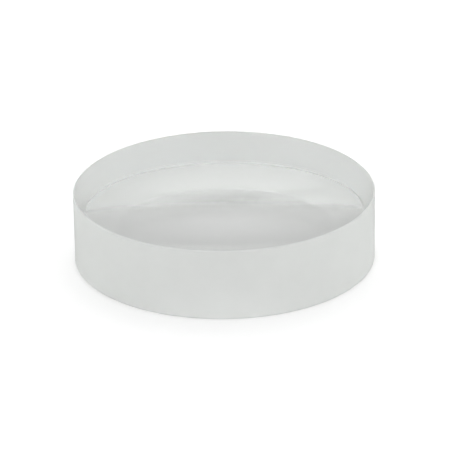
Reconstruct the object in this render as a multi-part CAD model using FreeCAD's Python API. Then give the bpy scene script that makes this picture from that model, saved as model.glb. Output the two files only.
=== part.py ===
# Biconcave lens: one disc of crown glass with a hollow polished into each face.
# Millimetres. +Z is the optical axis, pointing out of the upper face.
# The origin is the optical centre, on the axis and halfway between the two vertices.

import FreeCAD, Part
import math
import os

# Driving dimensions
LENS_DIAMETER = 25.4       # across the fine-ground edge
CENTRE_THICKNESS = 3.0     # glass between the two vertices
UPPER_FACE_RADIUS = 52.0   # sphere that the upper face is polished to
LOWER_FACE_RADIUS = 52.0   # sphere that the lower face is polished to
UPPER_BEVEL = 0.1          # width of the protective 45 degree bevel round the upper rim
LOWER_BEVEL = 0.1          # the same round the lower rim

EDGE_RADIUS = LENS_DIAMETER / 2
UPPER_VERTEX_Z = CENTRE_THICKNESS / 2
LOWER_VERTEX_Z = -CENTRE_THICKNESS / 2
AXIS_POINT = FreeCAD.Vector(0, 0, 0)
OPTICAL_AXIS = FreeCAD.Vector(0, 0, 1)
FULL_TURN = 360


def sag(face_radius, r):
    """How far a face of that radius stands out past its vertex, at the distance r from the axis."""
    return face_radius - math.sqrt(face_radius**2 - r**2)


def section_point(r, z):
    """A point of the half section, at the distance r from the axis and the height z."""
    return FreeCAD.Vector(r, 0, z)


def face_arc(face_radius, vertex_z, outwards, rim_r):
    """The polished face in section: an arc from the vertex to the rim, hollow towards outwards (1 up, -1 down)."""
    half_r = rim_r / 2
    vertex = section_point(0, vertex_z)
    middle = section_point(half_r, vertex_z + outwards * sag(face_radius, half_r))
    rim = section_point(rim_r, vertex_z + outwards * sag(face_radius, rim_r))
    return Part.Arc(vertex, middle, rim).toShape(), rim


def biconcave_lens():
    """The half section of the lens, turned once round the optical axis."""
    upper_face, upper_rim = face_arc(UPPER_FACE_RADIUS, UPPER_VERTEX_Z, 1, EDGE_RADIUS - UPPER_BEVEL)
    lower_face, lower_rim = face_arc(LOWER_FACE_RADIUS, LOWER_VERTEX_Z, -1, EDGE_RADIUS - LOWER_BEVEL)
    edge_top = section_point(EDGE_RADIUS, upper_rim.z - UPPER_BEVEL)
    edge_bottom = section_point(EDGE_RADIUS, lower_rim.z + LOWER_BEVEL)
    upper_vertex = section_point(0, UPPER_VERTEX_Z)
    lower_vertex = section_point(0, LOWER_VERTEX_Z)

    outline = Part.Wire([
        upper_face,
        Part.makeLine(upper_rim, edge_top),
        Part.makeLine(edge_top, edge_bottom),
        Part.makeLine(edge_bottom, lower_rim),
        lower_face,
        Part.makeLine(lower_vertex, upper_vertex),
    ])
    return Part.Face(outline).revolve(AXIS_POINT, OPTICAL_AXIS, FULL_TURN)


os.makedirs("parts", exist_ok=True)
lens = biconcave_lens()
lens.exportStep("parts/biconcave_lens.step")
print(f"biconcave_lens: {lens.Volume:.1f} mm3, {lens.BoundBox.ZLength:.3f} mm at the rims")
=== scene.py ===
import math

import bpy
import numpy as np
from mathutils import Matrix, Vector


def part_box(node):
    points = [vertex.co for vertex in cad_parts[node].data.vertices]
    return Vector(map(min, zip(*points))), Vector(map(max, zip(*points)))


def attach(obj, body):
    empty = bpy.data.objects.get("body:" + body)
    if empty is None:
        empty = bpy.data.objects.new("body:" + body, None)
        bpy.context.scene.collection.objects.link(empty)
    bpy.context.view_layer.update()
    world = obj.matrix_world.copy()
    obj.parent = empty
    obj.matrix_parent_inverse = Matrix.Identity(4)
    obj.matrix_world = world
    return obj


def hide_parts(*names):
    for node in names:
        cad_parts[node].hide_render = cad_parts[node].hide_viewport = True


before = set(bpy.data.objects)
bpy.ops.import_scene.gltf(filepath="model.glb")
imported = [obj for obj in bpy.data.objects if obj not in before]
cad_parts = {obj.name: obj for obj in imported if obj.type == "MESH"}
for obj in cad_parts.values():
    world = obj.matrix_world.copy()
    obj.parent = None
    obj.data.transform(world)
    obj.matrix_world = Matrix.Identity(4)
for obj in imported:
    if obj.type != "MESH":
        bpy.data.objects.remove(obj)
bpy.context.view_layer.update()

# Biconcave lens
# One disc of clear crown glass with a spherical hollow ground and polished into each face.
# The edge is left fine-ground and the two narrow rim bevels are stoned, so they scatter the light.
MM = 0.001
FACE_RADIUS = 52.0 * MM
BEVEL = 0.1 * MM
FACE_STEPS = 64       # rings between a vertex and its rim
EDGE_STEPS = 24       # rings up the straight edge
BEVEL_STEPS = 2       # rings across a bevel
TURN_STEPS = 384      # columns round the axis
POLISHED, GROUND, STONED = 0, 1, 2    # the finishes, in the order of the material slots
CROWN_GLASS_INDEX = 1.517
PIT_DEPTH = 0.02 * MM    # of the fine grinding

lowest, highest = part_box("biconcave_lens")
edge_r = highest.x
rim_z = highest.z
rim_r = edge_r - BEVEL


def straight(start, end, steps):
    """Points (r, z) evenly spaced from start to end, without the last: start + (end - start) s."""
    s = np.linspace(0, 1, steps, endpoint=False)[:, None]
    return np.array(start) + (np.array(end) - np.array(start)) * s


def hollow(r):
    """Height of the upper polished face at the distance r from the axis: the rim's height less what the
    sphere falls from the rim to there, sqrt(R^2 - r^2) - sqrt(R^2 - rim_r^2)."""
    return rim_z - np.sqrt(FACE_RADIUS**2 - r**2) + math.sqrt(FACE_RADIUS**2 - rim_r**2)


def half_section():
    """The outline from the lower vertex out over the lower face, up the edge and in over the upper face to
    the upper vertex, the finish of each span between two points, and the points where the finish changes."""
    out = np.linspace(0, rim_r, FACE_STEPS, endpoint=False)
    lower_face = np.stack([out, -hollow(out)], 1)
    lower_bevel = straight((rim_r, -rim_z), (edge_r, -rim_z + BEVEL), BEVEL_STEPS)
    edge = straight((edge_r, -rim_z + BEVEL), (edge_r, rim_z - BEVEL), EDGE_STEPS)
    upper_bevel = straight((edge_r, rim_z - BEVEL), (rim_r, rim_z), BEVEL_STEPS)
    back = np.linspace(rim_r, 0, FACE_STEPS + 1)
    upper_face = np.stack([back, hollow(back)], 1)
    spans = [FACE_STEPS, BEVEL_STEPS, EDGE_STEPS, BEVEL_STEPS, FACE_STEPS]
    finish = np.repeat([POLISHED, STONED, GROUND, STONED, POLISHED], spans)
    corners = np.cumsum(spans)[:-1]
    return np.concatenate([lower_face, lower_bevel, edge, upper_bevel, upper_face]), finish, corners


def turned(name, outline, finish, sharp_rings):
    """Carries the outline (r, z) round the axis: x = r cos t, y = r sin t, z = z. Its two ends lie on the
    axis, so each is one vertex with a fan of triangles, and the columns close on the first. The edges along
    the rings in sharp_rings are sharp."""
    t = np.arange(TURN_STEPS) * (2 * math.pi / TURN_STEPS)
    r, z = outline[1:-1, 0, None], outline[1:-1, 1, None]
    rings = np.stack([r * np.cos(t), r * np.sin(t), z + 0 * t], 2).reshape(-1, 3)
    poles = np.array([[0, 0, outline[0, 1]], [0, 0, outline[-1, 1]]])
    places = np.concatenate([rings, poles])

    ring = np.arange(len(rings)).reshape(-1, TURN_STEPS)
    onward = np.roll(ring, -1, axis=1)
    quads = np.stack([ring[:-1], onward[:-1], onward[1:], ring[1:]], 2).reshape(-1, 4)
    low_pole, high_pole = len(rings), len(rings) + 1
    low_fan = np.stack([onward[0], ring[0], np.full(TURN_STEPS, low_pole)], 1)
    high_fan = np.stack([ring[-1], onward[-1], np.full(TURN_STEPS, high_pole)], 1)

    mesh = bpy.data.meshes.new(name)
    mesh.from_pydata(places.tolist(), [], quads.tolist() + low_fan.tolist() + high_fan.tolist())
    slots = np.concatenate([np.repeat(finish[1:-1], TURN_STEPS), np.repeat(finish[[0, -1]], TURN_STEPS)])
    mesh.polygons.foreach_set("material_index", slots.astype(np.int32))
    mesh.polygons.foreach_set("use_smooth", np.ones(len(slots), bool))

    ends = np.empty(len(mesh.edges) * 2, np.int32)
    mesh.edges.foreach_get("vertices", ends)
    ring_of = ends.reshape(-1, 2) // TURN_STEPS
    on_corner = np.isin(ring_of[:, 0], sharp_rings - 1) & (ring_of[:, 0] == ring_of[:, 1])
    mesh.edges.foreach_set("use_edge_sharp", on_corner)
    mesh.update()
    piece = bpy.data.objects.new(name, mesh)
    bpy.context.scene.collection.objects.link(piece)
    return piece


def blank_material(name):
    """A material with only its output, and that node."""
    material = bpy.data.materials.new(name)
    material.use_nodes = True
    material.node_tree.nodes.clear()
    return material, material.node_tree.nodes.new("ShaderNodeOutputMaterial")


def add(tree, kind, **inputs):
    """A node of that kind, with its inputs set: a socket is linked and anything else is its value."""
    node = tree.nodes.new("ShaderNode" + kind)
    for label, value in inputs.items():
        socket = node.inputs[label.replace("_", " ")]
        if isinstance(value, bpy.types.NodeSocket):
            tree.links.new(value, socket)
        else:
            socket.default_value = value
    return node


def polished_glass():
    """Clear glass with a simple polish, whose faint haze in patches makes the edges seen through it soft."""
    material, output = blank_material("polished glass")
    tree = material.node_tree
    place = add(tree, "TexCoord").outputs["Object"]
    patches = add(tree, "TexNoise", Vector=place, Scale=220.0, Detail=3.0, Roughness=0.5)
    haze = add(tree, "MapRange", Value=patches.outputs["Fac"])
    haze.inputs["From Min"].default_value = 0.35
    haze.inputs["From Max"].default_value = 0.75
    haze.inputs["To Min"].default_value = 0.09
    haze.inputs["To Max"].default_value = 0.12
    glass = add(tree, "BsdfPrincipled", Roughness=haze.outputs["Result"], IOR=CROWN_GLASS_INDEX,
                Transmission_Weight=1.0)
    glass.inputs["Base Color"].default_value = (0.984, 0.992, 0.986, 1)
    tree.links.new(glass.outputs["BSDF"], output.inputs["Surface"])
    return material


def ground_glass():
    """Glass ground with fine grit: matt with tiny pits, pale grey-green. It lets in under half the light."""
    material, output = blank_material("fine ground glass")
    tree = material.node_tree
    place = add(tree, "TexCoord").outputs["Object"]
    cloud = add(tree, "TexNoise", Vector=place, Scale=420.0, Detail=4.0, Roughness=0.6)
    tone = add(tree, "ValToRGB", Fac=cloud.outputs["Fac"])
    tone.color_ramp.elements[0].position = 0.3
    tone.color_ramp.elements[0].color = (0.882, 0.900, 0.882, 1)
    tone.color_ramp.elements[1].position = 0.7
    tone.color_ramp.elements[1].color = (0.906, 0.924, 0.906, 1)
    pits = add(tree, "TexNoise", Vector=place, Scale=9000.0, Detail=2.0, Roughness=0.6)
    relief = add(tree, "Bump", Strength=0.25, Distance=PIT_DEPTH, Height=pits.outputs["Fac"])
    glass = add(tree, "BsdfPrincipled", Base_Color=tone.outputs["Color"], Roughness=1.0,
                IOR=CROWN_GLASS_INDEX, Transmission_Weight=0.42, Normal=relief.outputs["Normal"])
    tree.links.new(glass.outputs["BSDF"], output.inputs["Surface"])
    return material


def bevel_glass():
    """The same glass, stoned by hand: a little less matt than the edge, and it lets in half the light."""
    material, output = blank_material("stoned bevel glass")
    tree = material.node_tree
    place = add(tree, "TexCoord").outputs["Object"]
    pits = add(tree, "TexNoise", Vector=place, Scale=6000.0, Detail=2.0, Roughness=0.6)
    grain = add(tree, "MapRange", Value=pits.outputs["Fac"])
    grain.inputs["To Min"].default_value = 0.75
    grain.inputs["To Max"].default_value = 0.85
    glass = add(tree, "BsdfPrincipled", Roughness=grain.outputs["Result"], IOR=CROWN_GLASS_INDEX,
                Transmission_Weight=0.5)
    glass.inputs["Base Color"].default_value = (0.89, 0.91, 0.895, 1)
    tree.links.new(glass.outputs["BSDF"], output.inputs["Surface"])
    return material


outline, finish, corners = half_section()
lens = turned("lens", outline, finish, corners)
lens.data.materials.append(polished_glass())
lens.data.materials.append(ground_glass())
lens.data.materials.append(bevel_glass())
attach(lens, "root")
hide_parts("biconcave_lens")

# Floor
# A plain white matt table that the lens stands on. It reaches far past the picture on every side, and it
# glows faintly all round the lens but not under it, so that the shadow beside the lens stays pale.
HALF_WIDTH = 1.5
TABLE_GLOW = 0.2
GLOW_STARTS = 0.97 * edge_r
GLOW_FULL = 1.03 * edge_r

floor_mesh = bpy.data.meshes.new("floor")
floor_mesh.from_pydata([(-HALF_WIDTH, -HALF_WIDTH, lowest.z), (HALF_WIDTH, -HALF_WIDTH, lowest.z),
                        (HALF_WIDTH, HALF_WIDTH, lowest.z), (-HALF_WIDTH, HALF_WIDTH, lowest.z)],
                       [], [(0, 1, 2, 3)])
floor = bpy.data.objects.new("floor", floor_mesh)
bpy.context.scene.collection.objects.link(floor)


def calculated(tree, operation, first, second):
    """The result of a Math node on two values, each a socket or a number."""
    node = tree.nodes.new("ShaderNodeMath")
    node.operation = operation
    for socket, value in zip(node.inputs, (first, second)):
        if isinstance(value, bpy.types.NodeSocket):
            tree.links.new(value, socket)
        else:
            socket.default_value = value
    return node.outputs["Value"]


def table_top():
    """Matt white paint, and the glow. Only the view itself, reflections and looks through glass see the
    glow: TABLE_GLOW times a smooth step from 0 to 1 in the distance from the axis, sqrt(x^2 + y^2)."""
    material, output = blank_material("white table")
    tree = material.node_tree
    paint = add(tree, "BsdfDiffuse", Color=(0.9, 0.9, 0.9, 1))

    across = tree.nodes.new("ShaderNodeVectorMath")
    across.operation = "MULTIPLY"
    tree.links.new(add(tree, "TexCoord").outputs["Object"], across.inputs[0])
    across.inputs[1].default_value = (1, 1, 0)
    distance = tree.nodes.new("ShaderNodeVectorMath")
    distance.operation = "LENGTH"
    tree.links.new(across.outputs["Vector"], distance.inputs[0])
    step = add(tree, "MapRange", Value=distance.outputs["Value"])
    step.interpolation_type = "SMOOTHSTEP"
    step.inputs["From Min"].default_value = GLOW_STARTS
    step.inputs["From Max"].default_value = GLOW_FULL
    step.inputs["To Max"].default_value = TABLE_GLOW

    ray = add(tree, "LightPath").outputs
    seen = calculated(tree, "MAXIMUM", ray["Is Camera Ray"], ray["Is Glossy Ray"])
    seen = calculated(tree, "MAXIMUM", seen, ray["Is Transmission Ray"])
    glow = add(tree, "Emission", Strength=calculated(tree, "MULTIPLY", seen, step.outputs["Result"]))
    both = tree.nodes.new("ShaderNodeAddShader")
    tree.links.new(paint.outputs["BSDF"], both.inputs[0])
    tree.links.new(glow.outputs["Emission"], both.inputs[1])
    tree.links.new(both.outputs["Shader"], output.inputs["Surface"])
    return material


floor.data.materials.append(table_top())

# Light
# A plain white studio tent: a low even glow, and wide soft lights behind and above, in front and at each
# side. Each is a patch of the tent that is brightest at its middle and fades out round it. The last three,
# of levels under 0, are a short dim streak at the back, which the upper hollow mirrors as a smudge.
EVEN_GLOW = 0.1
# Each row: level, degrees from the back round to the left, degrees above level, closeness to its middle.
SOFT_LIGHTS = [
    (1.05, -4, 50, 4),
    (0.83, -4, 50, 12),
    (0.26, 0, 5, 6),
    (0.94, 180, 20, 2),
    (0.7, 90, 10, 4),
    (0.75, -90, 10, 4),
    (0.42, 90, 35, 4),
    (0.46, -90, 35, 4),
    (-0.85, 0.8, 26.9, 1500),
    (-0.3, -2.4, 26.2, 1500),
    (-0.2, 4, 26.2, 1500),
]

world = bpy.data.worlds.new("studio")
bpy.context.scene.world = world
world.use_nodes = True
tent = world.node_tree
tent.nodes.clear()


def soft_light(tree, level, turn, height, closeness):
    """level times the cosine of the angle to the light's middle, at least 0, to the power of closeness."""
    turn, height = math.radians(turn), math.radians(height)
    middle = (-math.sin(turn) * math.cos(height), math.cos(turn) * math.cos(height), math.sin(height))
    cosine = tree.nodes.new("ShaderNodeVectorMath")
    cosine.operation = "DOT_PRODUCT"
    tree.links.new(add(tree, "TexCoord").outputs["Generated"], cosine.inputs[0])
    cosine.inputs[1].default_value = middle
    above = calculated(tree, "MAXIMUM", cosine.outputs["Value"], 0.0)
    return calculated(tree, "MULTIPLY", calculated(tree, "POWER", above, closeness), level)


brightness = EVEN_GLOW
for level, turn, height, closeness in SOFT_LIGHTS:
    patch = soft_light(tent, level, turn, height, closeness)
    brightness = calculated(tent, "ADD", patch, brightness)
backdrop = add(tent, "Background", Color=(1, 1, 1, 1), Strength=brightness)
tent.links.new(backdrop.outputs["Background"], add(tent, "OutputWorld").inputs["Surface"])

# Camera
# It looks down on the lens from the front, from about 290 mm away, and is held very slightly off level.
IMAGE_PX = 449
SENSOR_MM = 36.0
DISTANCE = 23 * edge_r
DOWN = math.radians(24.02)
ROLL = math.radians(0.73)
PX_PER_LENS_RADIUS = 150.3
CENTRE_RIGHT_PX = -0.1    # how far right and up of the picture's middle the lens's middle lies
CENTRE_UP_PX = 2.7

view = bpy.data.cameras.new("camera")
view.sensor_width = SENSOR_MM
view.lens = SENSOR_MM * PX_PER_LENS_RADIUS / IMAGE_PX * DISTANCE / edge_r
view.shift_x = -CENTRE_RIGHT_PX / IMAGE_PX
view.shift_y = -CENTRE_UP_PX / IMAGE_PX
view.clip_start = DISTANCE / 20
view.clip_end = HALF_WIDTH * 4
camera = bpy.data.objects.new("camera", view)
bpy.context.scene.collection.objects.link(camera)
aim = Matrix.Rotation(math.pi / 2 - DOWN, 4, "X") @ Matrix.Rotation(-ROLL, 4, "Z")
stand = Vector((0, -math.cos(DOWN), math.sin(DOWN))) * DISTANCE
camera.matrix_world = Matrix.Translation(stand) @ aim
bpy.context.scene.camera = camera
bpy.context.scene.view_settings.view_transform = "Standard"
